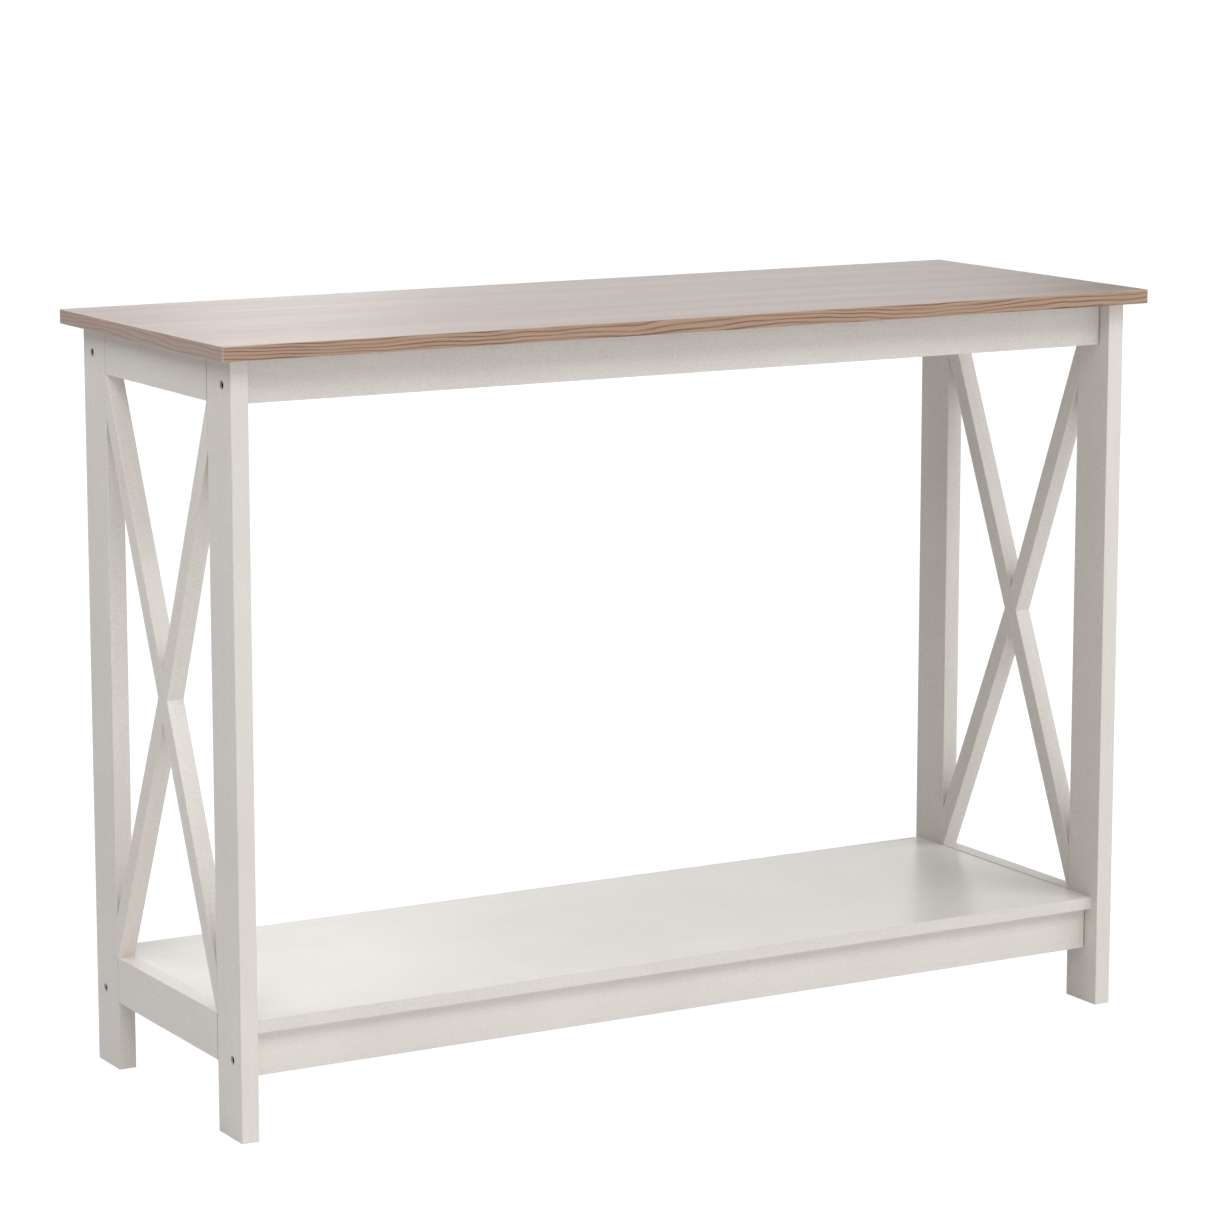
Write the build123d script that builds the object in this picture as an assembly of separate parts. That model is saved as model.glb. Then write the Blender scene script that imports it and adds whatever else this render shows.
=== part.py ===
from build123d import *
import os
from math import atan2, cos, degrees, radians, sin

# Console table with X-braced end frames, a long apron and lower rail on each side, and a low shelf.
# Millimetres. X runs along the table, -Y is its front, +Z is up.
# The origin is at the centre of the table's footprint, on the floor.

# Overall size
LENGTH = 1100
DEPTH = 400
HEIGHT = 800

# Board thicknesses
TOP_THICKNESS = 15
SHELF_THICKNESS = 13.5
LONG_RAIL_THICKNESS = 15
FRAME_THICKNESS = 19
END_BAND = 2.0
SIDE_BAND = 1.0

# Tabletop overhang beyond the legs
END_OVERHANG = 17.5
SIDE_OVERHANG = 20

# End frames
LEG_WIDTH = 55
RAIL_HEIGHT = 46.5
BOTTOM_END_RAIL = (73, 122)
BRACE_WIDTH = 20
BRACE_CORNER = 8.7
CROSSING_DROP = 9.3

# Long rails, measured inward from the legs' front and rear faces
APRON_SETBACK = 17
LOWER_RAIL_SETBACK = 22.5
SHELF_FRONT_SETBACK = 11.5
SHELF_REAR_SETBACK = 3.5
SHELF_DROP = 1

# Gap left between a long rail's end and the leg that it is dowelled to
RAIL_END_GAP = 1.0

# Fasteners
THICK_DOWEL = (8, 30)
THIN_DOWEL = (6, 30)
TOP_DOWEL = (8, 25)
CROSSING_DOWEL = (6, 18)
DOWEL_CHAMFER = 0.8
DOWEL_IN_LEG = 10
DOWEL_IN_PANEL = 9
BRACE_DOWEL_IN_LEG = 18
CAM_DIAMETER = 9
CAM_RECESS = 2.5
CAM_SLOT = (6.5, 1.4, 1.5)
CAM_BACKING = 4
CAM_RIM = 0.5
SHANK_DIAMETER = 6
THREAD_DIAMETER = 5
THREAD_LENGTH = 11
SHANK_GAP = 1.5
FRAME_CAM_REACH = 34
PANEL_CAM_REACH = 24

# Eased edges
LAMINATE_EASE = 0.9
RAIL_END_EASE = 0.5
BAND_EASE = 0.7

# Heights and planes worked out from the sizes above
TOP_UNDERSIDE = HEIGHT - TOP_THICKNESS
RAIL_UNDERSIDE = TOP_UNDERSIDE - RAIL_HEIGHT
BOTTOM_RAIL_TOP = BOTTOM_END_RAIL[1]
SHELF_TOP = BOTTOM_RAIL_TOP - SHELF_DROP
SHELF_UNDERSIDE = SHELF_TOP - SHELF_THICKNESS
LOWER_RAIL_UNDERSIDE = SHELF_UNDERSIDE - RAIL_HEIGHT
OUTER_X = LENGTH / 2 - END_OVERHANG
INNER_X = OUTER_X - FRAME_THICKNESS
FRAME_X = (OUTER_X + INNER_X) / 2
LEG_FACE_Y = DEPTH / 2 - SIDE_OVERHANG
LEG_EDGE_Y = LEG_FACE_Y - LEG_WIDTH
APRON_Y = LEG_FACE_Y - APRON_SETBACK - LONG_RAIL_THICKNESS / 2
LOWER_RAIL_Y = LEG_FACE_Y - LOWER_RAIL_SETBACK - LONG_RAIL_THICKNESS / 2

# Fastener heights
CAM_Y = LEG_EDGE_Y + FRAME_CAM_REACH
UPPER_CAM_Z = RAIL_UNDERSIDE + 19.5
LOWER_CAM_Z = BOTTOM_END_RAIL[0] + 8.5
UPPER_FRAME_DOWEL_Z = TOP_UNDERSIDE - 11
LOWER_FRAME_DOWEL_Z = BOTTOM_RAIL_TOP - 14
APRON_STUD_Z = TOP_UNDERSIDE - 11
APRON_DOWEL_Z = RAIL_UNDERSIDE + 8
LOWER_STUD_Z = SHELF_UNDERSIDE - 10
LOWER_DOWEL_Z = LOWER_RAIL_UNDERSIDE + 7
SHELF_JOINT_Z = SHELF_TOP - SHELF_THICKNESS / 2
UPPER_BRACE_DOWEL_Z = RAIL_UNDERSIDE - 36
LOWER_BRACE_DOWEL_Z = BOTTOM_RAIL_TOP + 36

# Fastener places along the boards
SHELF_CAM_Y = 80
SHELF_DOWEL_Y = 30
SHELF_REST_X = (-300, 0, 300)
TOP_CAM_X = (-350, 0, 350)
TOP_DOWEL_X = (-175, 175)
TOP_END_DOWEL_Y = 90

SIDES = {"left": -1, "right": 1}
ENDS = {"front": -1, "rear": 1}


def slab(x, y, z):
    """A rectangular board between a pair of limits on each axis."""
    size = [abs(limits[1] - limits[0]) for limits in (x, y, z)]
    centre = [(limits[0] + limits[1]) / 2 for limits in (x, y, z)]
    return Pos(*centre) * Box(*size)


def eased(board, axis, radius=LAMINATE_EASE):
    """Rounds the long edges of a board, those that run along one axis."""
    return fillet(board.edges().filter_by(axis), radius)


def rod(centre, direction, diameter, length):
    """A round bar centred on a point and lying along a direction."""
    return Plane(origin=centre, z_dir=direction) * Cylinder(diameter / 2, length)


def dowel(centre, direction, size):
    """A wooden dowel with chamfered ends."""
    bar = rod(centre, direction, *size)
    return chamfer(bar.edges().filter_by(GeomType.CIRCLE), DOWEL_CHAMFER)


def span(start, direction, near, far, diameter):
    """A round bar along a direction, between two distances from its starting point."""
    return rod(start + direction * ((near + far) / 2), direction, diameter, far - near)


def cam_fitting(centre, mouth, depth, pull, reach):
    """A cam disc, the stud that it pulls on, and the bores that they need.

    The disc turns in a blind hole that opens along mouth, at a depth below that face.
    The stud runs along pull: its shank reaches the joint, and its thread goes past it.
    """
    centre, mouth, pull = Vector(*centre), Vector(*mouth), Vector(*pull)
    hole = span(centre, mouth, -CAM_BACKING, depth, CAM_DIAMETER)
    rim = Plane(origin=centre + mouth * (depth - CAM_RIM / 2), z_dir=mouth)
    rim *= Cone(CAM_DIAMETER / 2, CAM_DIAMETER / 2 + CAM_RIM, CAM_RIM)
    shank = span(centre, pull, SHANK_GAP, reach, SHANK_DIAMETER)
    thread = span(centre, pull, reach, reach + THREAD_LENGTH, THREAD_DIAMETER)
    face = Plane(origin=centre + mouth * (depth - CAM_RECESS), z_dir=mouth)
    slot_length, slot_width, slot_depth = CAM_SLOT
    cross = Box(slot_length, slot_width, 2 * slot_depth) + Box(slot_width, slot_length, 2 * slot_depth)
    disc = span(centre, mouth, -CAM_BACKING, depth - CAM_RECESS, CAM_DIAMETER)
    disc -= [shank, face * cross]
    return {"disc": disc, "stud": shank + thread, "bores": [hole, rim, shank, thread]}


# ---- Fasteners -------------------------------------------------------------------------------

def frame_cams(side):
    """Cams in a pair of legs' outer faces, with studs that run into the end rails."""
    mouth = (side, 0, 0)
    depth = FRAME_THICKNESS / 2
    return [
        cam_fitting((side * FRAME_X, end * CAM_Y, z), mouth, depth, (0, -end, 0), FRAME_CAM_REACH)
        for end in ENDS.values()
        for z in (UPPER_CAM_Z, LOWER_CAM_Z)
    ]


def long_rail_cams(side):
    """Cams in the inner faces of the aprons and lower rails, with studs that run into the legs."""
    cam_x = side * (INNER_X - PANEL_CAM_REACH)
    depth = LONG_RAIL_THICKNESS / 2
    return [
        cam_fitting((cam_x, end * y, z), (0, -end, 0), depth, (side, 0, 0), PANEL_CAM_REACH)
        for end in ENDS.values()
        for y, z in ((APRON_Y, APRON_STUD_Z), (LOWER_RAIL_Y, LOWER_STUD_Z))
    ]


def shelf_cams(side):
    """Cams in the shelf's underside, with studs that run into the bottom end rail."""
    cam_x = side * (INNER_X - PANEL_CAM_REACH)
    depth = SHELF_THICKNESS / 2
    return [
        cam_fitting((cam_x, y, SHELF_JOINT_Z), (0, 0, -1), depth, (side, 0, 0), PANEL_CAM_REACH)
        for y in (-SHELF_CAM_Y, SHELF_CAM_Y)
    ]


def top_cams():
    """Cams in the inner faces of the aprons and top end rails, with studs up into the tabletop."""
    cam_z = TOP_UNDERSIDE - PANEL_CAM_REACH
    up = (0, 0, 1)
    apron_depth = LONG_RAIL_THICKNESS / 2
    rail_depth = FRAME_THICKNESS / 2
    along_aprons = [
        cam_fitting((x, end * APRON_Y, cam_z), (0, -end, 0), apron_depth, up, PANEL_CAM_REACH)
        for end in ENDS.values()
        for x in TOP_CAM_X
    ]
    on_end_rails = [
        cam_fitting((side * FRAME_X, 0, cam_z), (-side, 0, 0), rail_depth, up, PANEL_CAM_REACH)
        for side in SIDES.values()
    ]
    return along_aprons + on_end_rails


def frame_dowels(side):
    """Dowels between the legs and the end rails."""
    heights = (UPPER_FRAME_DOWEL_Z, LOWER_FRAME_DOWEL_Z)
    return [
        ((side * FRAME_X, end * LEG_EDGE_Y, z), (0, 1, 0), THICK_DOWEL)
        for end in ENDS.values()
        for z in heights
    ]


def brace_dowels(side):
    """Dowels from the braces' outer ends into the legs, and from the short braces into the long one."""
    leg_y = LEG_EDGE_Y + BRACE_DOWEL_IN_LEG - THIN_DOWEL[1] / 2
    at_legs = [
        ((side * FRAME_X, end * leg_y, z), (0, 1, 0), THIN_DOWEL)
        for end in ENDS.values()
        for z in (UPPER_BRACE_DOWEL_Z, LOWER_BRACE_DOWEL_Z)
    ]
    at_crossing = []
    for corner in (FRONT_TOP, REAR_BOTTOM):
        along = (Vector(0, *corner) - Vector(0, *CROSSING)).normalized()
        long_way = Vector(0, *REAR_TOP) - Vector(0, *FRONT_BOTTOM)
        to_face = BRACE_WIDTH / 2 / sin(radians(along.get_angle(long_way)))
        centre = Vector(side * FRAME_X, *CROSSING) + along * to_face
        at_crossing.append((centre, along, CROSSING_DOWEL))
    return at_legs + at_crossing


def long_rail_dowels(side):
    """Dowels from the ends of the aprons and lower rails into the legs."""
    centre_x = side * (INNER_X + DOWEL_IN_LEG - THIN_DOWEL[1] / 2)
    return [
        ((centre_x, end * y, z), (1, 0, 0), THIN_DOWEL)
        for end in ENDS.values()
        for y, z in ((APRON_Y, APRON_DOWEL_Z), (LOWER_RAIL_Y, LOWER_DOWEL_Z))
    ]


def shelf_dowels():
    """Dowels from the shelf's ends into the bottom end rails, and up from the lower rails."""
    end_x = INNER_X + DOWEL_IN_LEG - THIN_DOWEL[1] / 2
    rest_z = SHELF_UNDERSIDE + DOWEL_IN_PANEL - THIN_DOWEL[1] / 2
    at_ends = [
        ((side * end_x, y, SHELF_JOINT_Z), (1, 0, 0), THIN_DOWEL)
        for side in SIDES.values()
        for y in (-SHELF_DOWEL_Y, SHELF_DOWEL_Y)
    ]
    on_rails = [
        ((x, end * LOWER_RAIL_Y, rest_z), (0, 0, 1), THIN_DOWEL)
        for end in ENDS.values()
        for x in SHELF_REST_X
    ]
    return at_ends + on_rails


def top_dowels():
    """Dowels that stand in the end rails and aprons and locate the tabletop."""
    centre_z = TOP_UNDERSIDE + DOWEL_IN_PANEL - TOP_DOWEL[1] / 2
    on_end_rails = [
        ((side * FRAME_X, y, centre_z), (0, 0, 1), TOP_DOWEL)
        for side in SIDES.values()
        for y in (-TOP_END_DOWEL_Y, TOP_END_DOWEL_Y)
    ]
    on_aprons = [
        ((x, end * APRON_Y, centre_z), (0, 0, 1), TOP_DOWEL)
        for end in ENDS.values()
        for x in TOP_DOWEL_X
    ]
    return on_end_rails + on_aprons


# ---- End frames ------------------------------------------------------------------------------

# Brace centre lines, as (y, z) points in the plane of an end frame
BRACE_CORNER_Y = LEG_EDGE_Y + BRACE_CORNER
REAR_TOP = (BRACE_CORNER_Y, RAIL_UNDERSIDE)
FRONT_TOP = (-BRACE_CORNER_Y, RAIL_UNDERSIDE)
REAR_BOTTOM = (BRACE_CORNER_Y, BOTTOM_RAIL_TOP)
FRONT_BOTTOM = (-BRACE_CORNER_Y, BOTTOM_RAIL_TOP)
SLOPE = (REAR_TOP[0] - FRONT_BOTTOM[0]) / (REAR_TOP[1] - FRONT_BOTTOM[1])
CROSSING = (-CROSSING_DROP * SLOPE, (RAIL_UNDERSIDE + BOTTOM_RAIL_TOP) / 2 - CROSSING_DROP)


def brace_strip(start, end, overrun):
    """A strip of the brace's width about a centre line, run on past its start and, if asked, its end."""
    length = ((end[0] - start[0]) ** 2 + (end[1] - start[1]) ** 2) ** 0.5
    angle = atan2(end[1] - start[1], end[0] - start[0])
    before, after = overrun
    middle = (length + after - before) / 2
    place = Pos(start[0] + middle * cos(angle), start[1] + middle * sin(angle))
    return place * Rot(0, 0, degrees(angle)) * Rectangle(length + before + after, BRACE_WIDTH)


def brace(side, outline):
    """Extrudes a brace outline through the frame's thickness and rounds its four long edges."""
    plane = Plane.YZ.offset(side * FRAME_X - FRAME_THICKNESS / 2)
    bar = extrude(plane * outline, FRAME_THICKNESS)
    return fillet(bar.edges().sort_by(SortBy.LENGTH)[-4:], LAMINATE_EASE)


def end_frame(side):
    """Legs, end rails and braces of one end, before drilling."""
    thickness = (side * INNER_X, side * OUTER_X)
    between_legs = (-LEG_EDGE_Y, LEG_EDGE_Y)
    pieces = {}
    for end_name, end in ENDS.items():
        leg = slab(thickness, (end * LEG_EDGE_Y, end * LEG_FACE_Y), (0, TOP_UNDERSIDE))
        pieces["leg_" + end_name] = eased(leg, Axis.Z)
    top_rail = slab(thickness, between_legs, (RAIL_UNDERSIDE, TOP_UNDERSIDE))
    pieces["top_end_rail"] = eased(top_rail, Axis.Y)
    pieces["bottom_end_rail"] = eased(slab(thickness, between_legs, BOTTOM_END_RAIL), Axis.Y)

    opening_height = RAIL_UNDERSIDE - BOTTOM_RAIL_TOP
    opening = Pos(0, (RAIL_UNDERSIDE + BOTTOM_RAIL_TOP) / 2) * Rectangle(2 * LEG_EDGE_Y, opening_height)
    past = 3 * BRACE_WIDTH
    long_strip = brace_strip(REAR_TOP, FRONT_BOTTOM, (past, past))
    pieces["brace_long"] = brace(side, long_strip & opening)
    for name, corner in (("brace_upper", FRONT_TOP), ("brace_lower", REAR_BOTTOM)):
        short_strip = brace_strip(corner, CROSSING, (past, 0))
        pieces[name] = brace(side, (short_strip & opening) - long_strip)
    return pieces


# ---- Long rails, shelf and tabletop ----------------------------------------------------------

def long_rail(centre_y, underside):
    """An apron or lower rail, which fits between the two end frames with a fine gap at each end."""
    half_length = INNER_X - RAIL_END_GAP
    half = LONG_RAIL_THICKNESS / 2
    x = (-half_length, half_length)
    board = slab(x, (centre_y - half, centre_y + half), (underside, underside + RAIL_HEIGHT))
    return eased(eased(board, Axis.X), Axis.Z, RAIL_END_EASE)


def shelf():
    """The shelf board and the bands on its front and rear edges."""
    front = -LEG_FACE_Y + SHELF_FRONT_SETBACK
    rear = LEG_FACE_Y - SHELF_REAR_SETBACK
    x = (-INNER_X, INNER_X)
    z = (SHELF_UNDERSIDE, SHELF_TOP)
    front_band = slab(x, (front, front + SIDE_BAND), z)
    rear_band = slab(x, (rear - SIDE_BAND, rear), z)
    return {
        "shelf_panel": slab(x, (front + SIDE_BAND, rear - SIDE_BAND), z),
        "shelf_edge_front": fillet(front_band.edges().filter_by(Axis.X).group_by(Axis.Y)[0], BAND_EASE),
        "shelf_edge_rear": fillet(rear_band.edges().filter_by(Axis.X).group_by(Axis.Y)[-1], BAND_EASE),
    }


def outer_limits(position):
    """A narrow range about one position, for picking the edges that lie there."""
    return position - 0.1, position + 0.1


def tabletop():
    """The top board, its end bands over the full depth, and its front and rear bands between them."""
    x_core = LENGTH / 2 - END_BAND
    y_core = DEPTH / 2 - SIDE_BAND
    z = (TOP_UNDERSIDE, HEIGHT)
    pieces = {"table_top": slab((-x_core, x_core), (-y_core, y_core), z)}
    for name, end in ENDS.items():
        band = slab((-x_core, x_core), (end * y_core, end * DEPTH / 2), z)
        outer = band.edges().filter_by(Axis.X).filter_by_position(Axis.Y, *outer_limits(end * DEPTH / 2))
        pieces["top_edge_" + name] = fillet(outer, BAND_EASE)
    for name, side in SIDES.items():
        band = slab((side * x_core, side * LENGTH / 2), (-DEPTH / 2, DEPTH / 2), z)
        outer = band.edges().filter_by_position(Axis.X, *outer_limits(side * LENGTH / 2))
        pieces["top_edge_" + name] = fillet(outer, BAND_EASE)
    return pieces


# ---- Assembly --------------------------------------------------------------------------------

def group(cams, key):
    return Compound([cam[key] for cam in cams])


def dowel_group(places):
    return Compound([dowel(*place) for place in places])


def cam_bores(cams):
    return [bore for cam in cams for bore in cam["bores"]]


def dowel_bores(places):
    return [rod(centre, direction, *size) for centre, direction, size in places]


nodes = {}
bores = []

for side_name, side in SIDES.items():
    cams = frame_cams(side)
    nodes["frame_cams_" + side_name] = group(cams, "disc")
    nodes["frame_studs_" + side_name] = group(cams, "stud")
    nodes["frame_dowels_" + side_name] = dowel_group(frame_dowels(side))
    nodes["brace_dowels_" + side_name] = dowel_group(brace_dowels(side))
    bores += cam_bores(cams) + dowel_bores(frame_dowels(side) + brace_dowels(side))

shared_cams = {
    "long_rail": [cam for side in SIDES.values() for cam in long_rail_cams(side)],
    "shelf": [cam for side in SIDES.values() for cam in shelf_cams(side)],
    "top": top_cams(),
}
shared_dowels = {
    "long_rail": [place for side in SIDES.values() for place in long_rail_dowels(side)],
    "shelf": shelf_dowels(),
    "top": top_dowels(),
}
for joint, cams in shared_cams.items():
    nodes[joint + "_cams"] = group(cams, "disc")
    nodes[joint + "_studs"] = group(cams, "stud")
    nodes[joint + "_dowels"] = dowel_group(shared_dowels[joint])
    bores += cam_bores(cams) + dowel_bores(shared_dowels[joint])

boards = {}
for side_name, side in SIDES.items():
    boards.update({piece + "_" + side_name: board for piece, board in end_frame(side).items()})
for end_name, end in ENDS.items():
    boards["apron_" + end_name] = long_rail(end * APRON_Y, RAIL_UNDERSIDE)
    boards["lower_rail_" + end_name] = long_rail(end * LOWER_RAIL_Y, LOWER_RAIL_UNDERSIDE)
boards.update(shelf())
boards.update(tabletop())

for name, board in boards.items():
    nodes[name] = board - bores

os.makedirs("parts", exist_ok=True)
for name, shape in nodes.items():
    export_step(shape, "parts/" + name + ".step")
print(len(nodes), "nodes written")
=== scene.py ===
"""Console table: looks, stage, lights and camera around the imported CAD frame. Metres."""

from math import atan2, cos, pi, radians, sin

import bpy
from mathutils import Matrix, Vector

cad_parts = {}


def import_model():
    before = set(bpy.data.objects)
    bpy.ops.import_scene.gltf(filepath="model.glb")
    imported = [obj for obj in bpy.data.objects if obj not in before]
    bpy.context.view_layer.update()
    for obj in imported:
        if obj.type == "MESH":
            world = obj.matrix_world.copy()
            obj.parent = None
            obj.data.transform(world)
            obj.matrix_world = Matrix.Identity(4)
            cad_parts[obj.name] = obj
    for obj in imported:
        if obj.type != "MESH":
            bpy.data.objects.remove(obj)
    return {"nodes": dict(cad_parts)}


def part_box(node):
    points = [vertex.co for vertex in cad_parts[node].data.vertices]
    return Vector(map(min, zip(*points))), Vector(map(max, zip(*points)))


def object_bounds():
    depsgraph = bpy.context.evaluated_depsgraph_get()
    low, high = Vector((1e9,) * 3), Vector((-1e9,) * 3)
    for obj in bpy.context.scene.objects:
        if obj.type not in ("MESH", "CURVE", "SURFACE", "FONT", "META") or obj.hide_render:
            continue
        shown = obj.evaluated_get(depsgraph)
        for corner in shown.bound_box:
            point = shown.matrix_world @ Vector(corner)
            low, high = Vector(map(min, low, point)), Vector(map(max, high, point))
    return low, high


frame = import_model()
cad_low, cad_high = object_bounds()

MM = 0.001

# Camera: it stands to the left of the table's front and looks down a little
CAMERA_AZIMUTH = radians(-29.94)
CAMERA_ELEVATION = radians(10.13)
CAMERA_DISTANCE = 4.567
CAMERA_TARGET = Vector((0.0043, 0.0093, 0.4580))
CAMERA_LENS = 124.21
CAMERA_SENSOR = 36
CAMERA_REACH = 200

# Floor and world: how bright they look, and how much light they give
WHITE = (1, 1, 1, 1)
FLOOR_SIZE = 160
FLOOR_GAP = 0.3 * MM
FLOOR_GLOW = 1.0
FLOOR_FILL = 0.074
FLOOR_ALBEDO = 0.92
FLOOR_ALBEDO_SEEN = 0.15
WORLD_FILL = 0.15

# Name, (azimuth, elevation) in degrees, distance, (width, height) and power in watts
LIGHTS = (
    ("front_low", (0, 10), 7, (3.6, 3.2), 60.3),
    ("front_left_high", (-30, 44), 7, (3.6, 3.2), 100.6),
    ("front_right_high", (30, 44), 7, (3.6, 3.2), 158.3),
    ("right_low", (60, 10), 7, (3.6, 3.2), 71.6),
    ("rear_high", (180, 42), 7, (3.4, 3.4), 68.2),
    ("rear_low", (165, 10), 7, (2.4, 2.0), 20),
    ("rear_low_right", (150, 10), 7, (2.4, 2.0), 31),
    ("left_near", (-90, 47), 2.05, (1.0, 1.0), 12.4),
)

# The finest edges of the boards, with the reach of the painted edge highlight and of the painted
# shade line at the rail ends
ARRIS_RADIUS = 1.2 * MM
# Width and fade of the painted shade line where the rails' ends meet the legs
JOINT_SHADE_WIDTH = 1.1 * MM
JOINT_SHADE_FADE = 0.4 * MM


def linear(red, green, blue):
    """A Blender colour from 8-bit sRGB values."""
    def channel(value):
        value /= 255
        return value / 12.92 if value <= 0.04045 else ((value + 0.055) / 1.055) ** 2.4
    return channel(red), channel(green), channel(blue), 1.0


# ---- Node helpers ----------------------------------------------------------------------------

class Graph:
    """A material's node tree, with short calls for the nodes that these materials use."""

    def __init__(self, name):
        self.material = bpy.data.materials.new(name)
        self.material.use_nodes = True
        self.tree = self.material.node_tree
        self.shader = self.tree.nodes["Principled BSDF"]

    def node(self, kind, **settings):
        made = self.tree.nodes.new(kind)
        for key, value in settings.items():
            setattr(made, key, value)
        return made

    def feed(self, socket, value):
        """Links a socket, or sets it to a constant."""
        if isinstance(value, bpy.types.NodeSocket):
            self.tree.links.new(value, socket)
        else:
            socket.default_value = value

    def math(self, operation, first, second=0.0):
        made = self.node("ShaderNodeMath", operation=operation)
        self.feed(made.inputs[0], first)
        self.feed(made.inputs[1], second)
        return made.outputs[0]

    def place(self, turn=(0, 0, 0), scale=(1, 1, 1)):
        """Object coordinates, which are the row frame in metres, turned and then scaled."""
        coordinates = self.node("ShaderNodeTexCoord").outputs["Object"]
        turned = self.node("ShaderNodeMapping", vector_type="POINT")
        self.feed(turned.inputs["Vector"], coordinates)
        turned.inputs["Rotation"].default_value = turn
        scaled = self.node("ShaderNodeMapping", vector_type="POINT")
        self.feed(scaled.inputs["Vector"], turned.outputs[0])
        scaled.inputs["Scale"].default_value = scale
        return scaled.outputs[0]

    def scaled(self, vector, scale):
        made = self.node("ShaderNodeVectorMath", operation="MULTIPLY")
        self.feed(made.inputs[0], vector)
        made.inputs[1].default_value = scale
        return made.outputs[0]

    def part(self, vector, axis):
        split = self.node("ShaderNodeSeparateXYZ")
        self.feed(split.inputs[0], vector)
        return split.outputs[axis]

    def blend(self, *shares):
        """A weighted sum of (value, weight) pairs."""
        total = 0.0
        for value, weight in shares:
            total = self.math("ADD", self.math("MULTIPLY", value, weight), total)
        return total

    def noise(self, vector, scale=1.0, detail=3.0, roughness=0.5, distortion=0.0):
        made = self.node("ShaderNodeTexNoise")
        self.feed(made.inputs["Vector"], vector)
        made.inputs["Scale"].default_value = scale
        made.inputs["Detail"].default_value = detail
        made.inputs["Roughness"].default_value = roughness
        made.inputs["Distortion"].default_value = distortion
        return made.outputs["Fac"]

    def ramp(self, value, low, high, to_low=0.0, to_high=1.0):
        """Maps a value from one range to another, smoothly at both ends."""
        made = self.node("ShaderNodeMapRange", interpolation_type="SMOOTHSTEP")
        for socket, given in zip(made.inputs, (value, low, high, to_low, to_high)):
            self.feed(socket, given)
        return made.outputs[0]

    def mix(self, share, first, second):
        made = self.node("ShaderNodeMix", data_type="RGBA")
        self.feed(made.inputs["Factor"], share)
        self.feed(made.inputs[6], first)
        self.feed(made.inputs[7], second)
        return made.outputs[2]

    def edge(self, radius):
        """0 on flat surfaces, rising to 1 on an outer edge."""
        soft = self.node("ShaderNodeBevel", samples=4)
        soft.inputs["Radius"].default_value = radius
        sharp = self.node("ShaderNodeNewGeometry").outputs["Normal"]
        turn = self.node("ShaderNodeVectorMath", operation="DOT_PRODUCT")
        self.feed(turn.inputs[0], soft.outputs[0])
        self.feed(turn.inputs[1], sharp)
        return self.ramp(turn.outputs["Value"], 0.99, 0.80)

    def bump(self, height, depth, strength=1.0):
        """A bump whose full height is depth metres."""
        made = self.node("ShaderNodeBump")
        made.inputs["Strength"].default_value = strength
        made.inputs["Distance"].default_value = depth
        self.feed(made.inputs["Height"], height)
        self.feed(self.shader.inputs["Normal"], made.outputs[0])

    def finish(self, colour, roughness, metallic=0.0, specular=0.5):
        self.feed(self.shader.inputs["Base Color"], colour)
        self.feed(self.shader.inputs["Roughness"], roughness)
        self.shader.inputs["Metallic"].default_value = metallic
        self.shader.inputs["Specular IOR Level"].default_value = specular
        return self.material


# ---- Materials -------------------------------------------------------------------------------

# Each board's grain runs along local X, once its coordinates are turned by one of these
ALONG_X = (0, 0, 0)
ALONG_Y = (0, 0, radians(-90))
ALONG_Z = (0, radians(90), 0)


def along_brace(rise):
    """The turn for a brace that climbs towards the rear (rise = 1) or the front (rise = -1)."""
    low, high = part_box("brace_long_left")
    slope = atan2(high.z - low.z, high.y - low.y)
    return (-rise * slope, 0, radians(-90))


def white_laminate(name, turn, pale=(231, 226, 220), deep=(215, 209, 203), roughness=0.40,
                   arris_highlight=0.35, half_length=None):
    """Off-white foil: a fine pore emboss along the board, faint clouding and edges lightened as a
    painted highlight.

    A half_length paints a thin dark line where a rail's ends meet the legs: painted shade standing
    for the shadow in the gap there.
    """
    g = Graph(name)
    place = g.place(turn)
    streaks = g.noise(g.place(turn, (7, 240, 240)), detail=3)
    clouds = g.noise(place, scale=9, detail=2)
    speckle = g.noise(place, scale=850, detail=2, roughness=0.7)
    pores = g.noise(g.place(turn, (110, 1300, 1300)), detail=4, roughness=0.6)
    tone = g.blend((streaks, 0.10), (speckle, 0.74), (clouds, 0.16))
    colour = g.mix(g.ramp(tone, 0.36, 0.64), linear(*deep), linear(*pale))
    # Painted highlight: the rounded edges are mixed towards a paler cream, as if catching the light.
    colour = g.mix(g.math("MULTIPLY", g.edge(ARRIS_RADIUS), arris_highlight), colour, linear(240, 237, 232))
    # Painted shade: a thin dark band at each end of the rail, standing for the shadow in the gap at
    # the leg.
    if half_length:
        reach = g.math("ABSOLUTE", g.part(place, "X"))
        joint_shade = g.ramp(reach, half_length - JOINT_SHADE_WIDTH, half_length - JOINT_SHADE_FADE, 0.0, 0.55)
        colour = g.mix(joint_shade, colour, linear(120, 114, 108))
    rough = g.math("ADD", roughness - 0.06, g.math("MULTIPLY", pores, 0.12))
    g.bump(g.blend((pores, 0.2), (speckle, 0.8)), 0.10 * MM, 0.7)
    return g.finish(colour, rough)


def growth_lines(g, across, place, spacing, sway, ripple):
    """Dark lines of grain, one for each spacing across the board, that wander along local X."""
    phase = g.math("DIVIDE", across, spacing)
    for reach, scale in (sway, ripple):
        drift = g.noise(g.scaled(place, scale), detail=1)
        phase = g.math("ADD", phase, g.math("MULTIPLY", drift, reach))
    wave = g.math("SINE", g.math("MULTIPLY", phase, 2 * pi))
    return g.ramp(wave, -0.1, 1.0)


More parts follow.
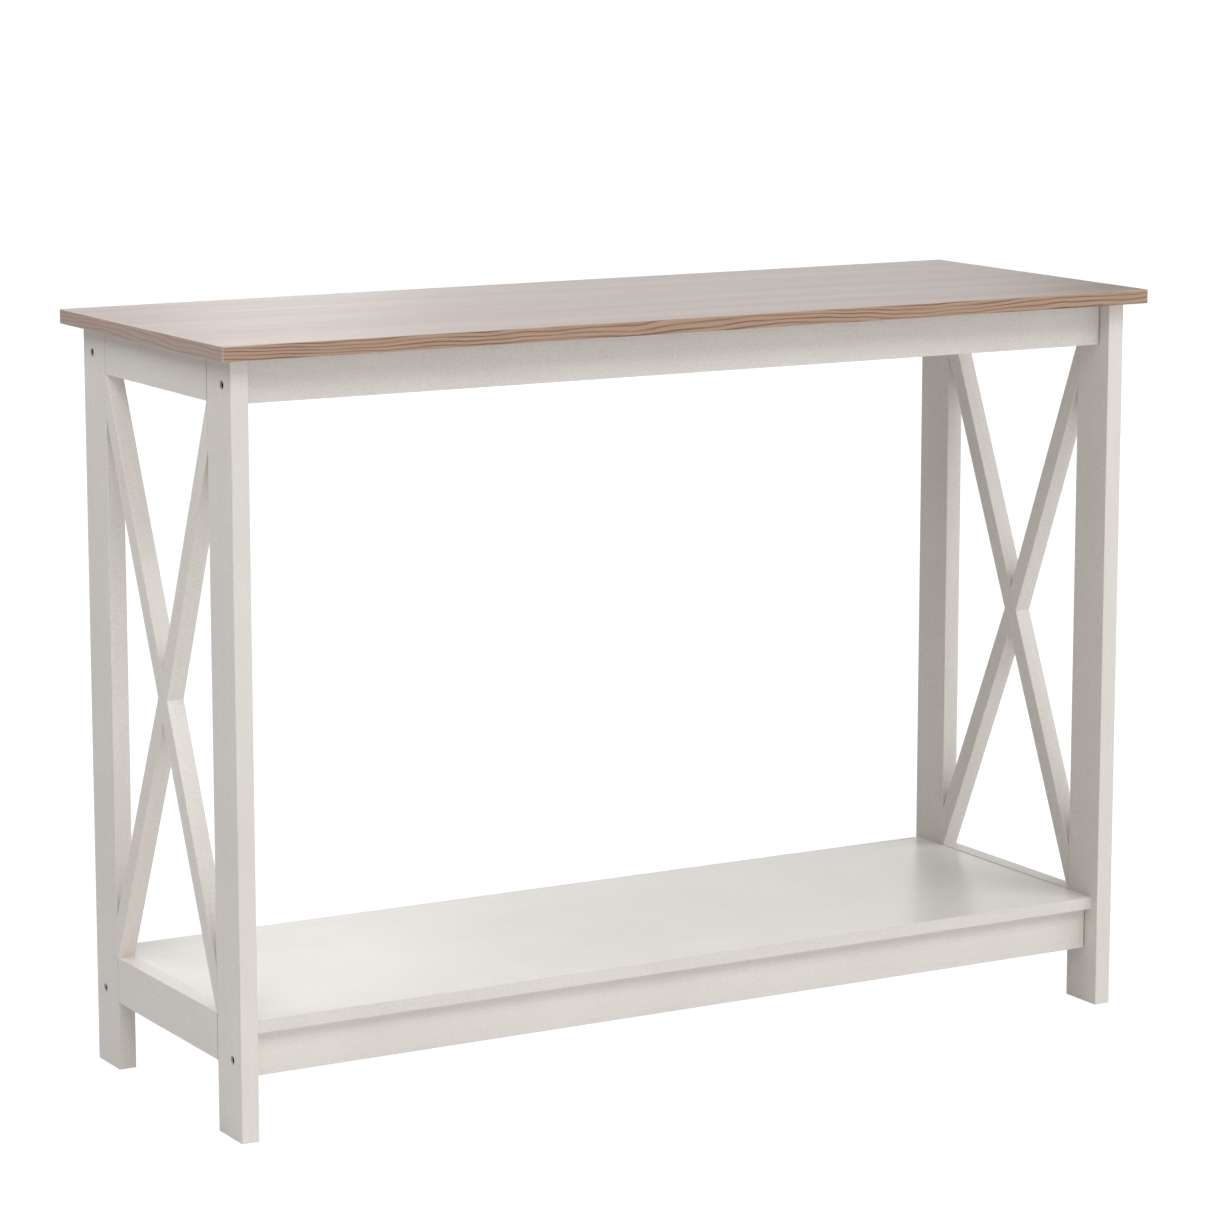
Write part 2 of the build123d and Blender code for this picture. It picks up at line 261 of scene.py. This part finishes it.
def greige_laminate(name):
    """Wood-look tabletop foil: long wandering grain, fine pores and a satin sheen."""
    g = Graph(name)
    place = g.place()
    across = g.part(place, "Y")
    sway, ripple = (7.0, (1.1, 5, 0)), (0.9, (7, 30, 0))
    lines = growth_lines(g, across, place, 11 * MM, sway, ripple)
    fade = g.ramp(g.noise(g.scaled(place, (1.7, 16, 0)), detail=2), 0.38, 0.62)
    fine = g.noise(g.scaled(place, (13, 420, 420)), detail=4, roughness=0.65)
    bands = g.noise(g.scaled(place, (1.3, 22, 0)), detail=3, distortion=0.5)
    pores = g.noise(g.scaled(place, (55, 1300, 1300)), detail=3)
    tone = g.blend((fine, 0.45), (bands, 0.55))
    colour = g.mix(g.ramp(tone, 0.36, 0.64), linear(165, 148, 139), linear(184, 169, 161))
    grain = g.math("MULTIPLY", g.math("MULTIPLY", lines, fade), 0.40)
    colour = g.mix(grain, colour, linear(142, 122, 111))
    colour = g.mix(g.ramp(pores, 0.60, 0.72, 0.0, 0.30), colour, linear(131, 112, 100))
    rough = g.math("ADD", 0.34, g.math("MULTIPLY", fine, 0.12))
    g.bump(g.blend((pores, -0.6), (fine, 0.4)), 0.05 * MM, 0.5)
    return g.finish(colour, rough)


def oak_edge(name, turn, pale, mid, deep):
    """Oak-look edge band: a few growth lines run along it, below a cream painted highlight along its
    upper edge.
    """
    g = Graph(name)
    place = g.place(turn)
    height = g.part(place, "Z")
    sway, ripple = (9.0, (2.1, 0, 14)), (2.0, (13, 0, 40))
    lines = growth_lines(g, height, place, 4.3 * MM, sway, ripple)
    depth = g.ramp(g.noise(g.scaled(place, (9, 0, 170)), detail=2), 0.3, 0.7, 0.4, 1.0)
    fine = g.noise(g.scaled(place, (26, 650, 650)), detail=4, roughness=0.7)
    colour = g.mix(g.ramp(fine, 0.3, 0.7), linear(*mid), linear(*pale))
    grain = g.math("MULTIPLY", g.math("MULTIPLY", lines, depth), 0.9)
    colour = g.mix(grain, colour, linear(*deep))
    # Painted highlight: a cream line along the top of the band, as if its eased upper edge caught
    # the light.
    arris_highlight = g.ramp(height, cad_high.z - 0.9 * MM, cad_high.z - 0.3 * MM, 0.0, 0.7)
    colour = g.mix(arris_highlight, colour, linear(206, 190, 178))
    rough = g.math("ADD", 0.42, g.math("MULTIPLY", lines, 0.12))
    g.bump(g.blend((fine, 0.5), (lines, -0.5)), 0.08 * MM, 0.6)
    return g.finish(colour, rough)


def beech(name):
    """Bare beech for the dowels, with short flecks."""
    g = Graph(name)
    fleck = g.noise(g.place(), scale=420, detail=3)
    colour = g.mix(g.ramp(fleck, 0.35, 0.65), linear(196, 158, 112), linear(222, 190, 146))
    g.bump(fleck, 0.05 * MM, 0.5)
    return g.finish(colour, g.ramp(fleck, 0.3, 0.7, 0.55, 0.75))


def metal(name, light, dark, roughness):
    """A plated fitting with fine scuffs."""
    g = Graph(name)
    scuff = g.noise(g.place(), scale=1600, detail=4, roughness=0.7)
    colour = g.mix(g.ramp(scuff, 0.4, 0.7), linear(*dark), linear(*light))
    g.bump(scuff, 0.03 * MM, 0.4)
    return g.finish(colour, g.ramp(scuff, 0.3, 0.7, roughness, roughness + 0.2), metallic=1.0)


def use(material, *nodes):
    """Gives CAD nodes a material, by their slots."""
    for node in nodes:
        for slot in frame["nodes"][node].material_slots:
            slot.material = material


def named(*words):
    """The nodes whose names hold any of the words."""
    return [node for node in frame["nodes"] if any(word in node for word in words)]


RAIL_HALF_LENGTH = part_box("top_end_rail_left")[1].y
LONG_OAK = (180, 150, 127), (165, 135, 113), (104, 75, 57)
END_OAK = (179, 160, 149), (168, 148, 137), (152, 131, 119)
# The shelf panel's foil is paler and more neutral than the legs'; part of the paleness is painted
# sheen, standing for the glossy reflection on its top.
SHELF_PALE_WITH_SHEEN, SHELF_DEEP_WITH_SHEEN = (237, 234, 228), (221, 218, 212)

upright = white_laminate("white_laminate_upright", ALONG_Z)
lengthwise = white_laminate("white_laminate_lengthwise", ALONG_X)
# Both end rails carry the painted shade line where their ends meet the legs.
top_end = white_laminate("white_laminate_top_end", ALONG_Y, half_length=RAIL_HALF_LENGTH)
# The bottom end rails get a stronger painted highlight along their edges.
bottom_end = white_laminate(
    "white_laminate_bottom_end", ALONG_Y, arris_highlight=0.9, half_length=RAIL_HALF_LENGTH)
brace_long = white_laminate("white_laminate_brace_long", along_brace(1))
brace_short = white_laminate("white_laminate_brace_short", along_brace(-1))
shelf_face = white_laminate("shelf_laminate_panel", ALONG_X, SHELF_PALE_WITH_SHEEN, SHELF_DEEP_WITH_SHEEN, 0.36)
shelf_band = white_laminate("shelf_laminate_band", ALONG_X)

use(upright, *named("leg_"))
use(top_end, *named("top_end_rail"))
use(bottom_end, *named("bottom_end_rail"))
use(lengthwise, *named("apron_", "lower_rail_"))
use(brace_long, *named("brace_long_"))
use(brace_short, *named("brace_upper_", "brace_lower_"))
use(shelf_face, "shelf_panel")
use(shelf_band, *named("shelf_edge_"))
use(greige_laminate("greige_laminate_grain"), "table_top")
use(oak_edge("oak_band_long", ALONG_X, *LONG_OAK), "top_edge_front", "top_edge_rear")
use(oak_edge("oak_band_end", ALONG_Y, *END_OAK), "top_edge_left", "top_edge_right")
use(beech("beech_dowel"), *named("dowels"))
use(metal("black_cam", (52, 48, 44), (22, 20, 19), 0.4), *named("cams"))
use(metal("zinc_stud", (205, 205, 208), (150, 150, 155), 0.3), *named("studs"))


# ---- Stage, lights and camera ----------------------------------------------------------------

centre = (cad_low + cad_high) / 2


def seen_by_camera(g, seen, other):
    """One value where the camera looks straight at the floor, and another for the light it gives."""
    path = g.node("ShaderNodeLightPath")
    return g.ramp(path.outputs["Is Camera Ray"], 0, 1, other, seen)


def stage_floor():
    """A plain white studio floor that is large enough to fill the view."""
    bpy.ops.mesh.primitive_plane_add(size=FLOOR_SIZE, location=(0, 0, cad_low.z - FLOOR_GAP))
    floor = bpy.context.object
    floor.name = "studio_floor"
    g = Graph("studio_floor_white")
    g.shader.inputs["Emission Color"].default_value = WHITE
    g.feed(g.shader.inputs["Emission Strength"], seen_by_camera(g, FLOOR_GLOW, FLOOR_FILL))
    shade = seen_by_camera(g, FLOOR_ALBEDO_SEEN, FLOOR_ALBEDO)
    floor.data.materials.append(g.finish(shade, 0.9, specular=0.0))


def outward(azimuth, elevation):
    """The direction from the table to an azimuth and elevation, in radians."""
    level = cos(elevation)
    return Vector((sin(azimuth) * level, -cos(azimuth) * level, sin(elevation)))


def softbox(name, direction, distance, size, power):
    """An area light that faces the table from an azimuth and elevation, in degrees.

    Azimuth 0 is in front of the table and 90 beyond its right end.
    """
    azimuth, elevation = (radians(angle) for angle in direction)
    away = outward(azimuth, elevation)
    light = bpy.data.lights.new(name, "AREA")
    light.shape = "RECTANGLE"
    light.size, light.size_y = size
    light.energy = power
    lamp = bpy.data.objects.new(name, light)
    lamp.location = centre + away * distance
    lamp.rotation_euler = away.to_track_quat("Z", "Y").to_euler()
    bpy.context.scene.collection.objects.link(lamp)


def world():
    """White where the camera sees it, and a weak even fill for the light it gives."""
    made = bpy.data.worlds.new("studio_world")
    made.use_nodes = True
    background = made.node_tree.nodes["Background"]
    background.inputs["Color"].default_value = WHITE
    path = made.node_tree.nodes.new("ShaderNodeLightPath")
    spread = made.node_tree.nodes.new("ShaderNodeMapRange")
    spread.inputs["To Min"].default_value = WORLD_FILL
    made.node_tree.links.new(path.outputs["Is Camera Ray"], spread.inputs["Value"])
    made.node_tree.links.new(spread.outputs[0], background.inputs["Strength"])
    bpy.context.scene.world = made


def camera():
    """The camera at the same angle as the picture of the table."""
    back = outward(CAMERA_AZIMUTH, CAMERA_ELEVATION)
    data = bpy.data.cameras.new("photo_camera")
    data.lens = CAMERA_LENS
    data.sensor_width = CAMERA_SENSOR
    data.clip_end = CAMERA_REACH
    eye = bpy.data.objects.new("photo_camera", data)
    eye.location = CAMERA_TARGET + back * CAMERA_DISTANCE
    eye.rotation_euler = back.to_track_quat("Z", "Y").to_euler()
    bpy.context.scene.collection.objects.link(eye)
    bpy.context.scene.camera = eye


stage_floor()
world()
for light in LIGHTS:
    softbox(*light)
camera()
bpy.context.scene.view_settings.view_transform = "Standard"
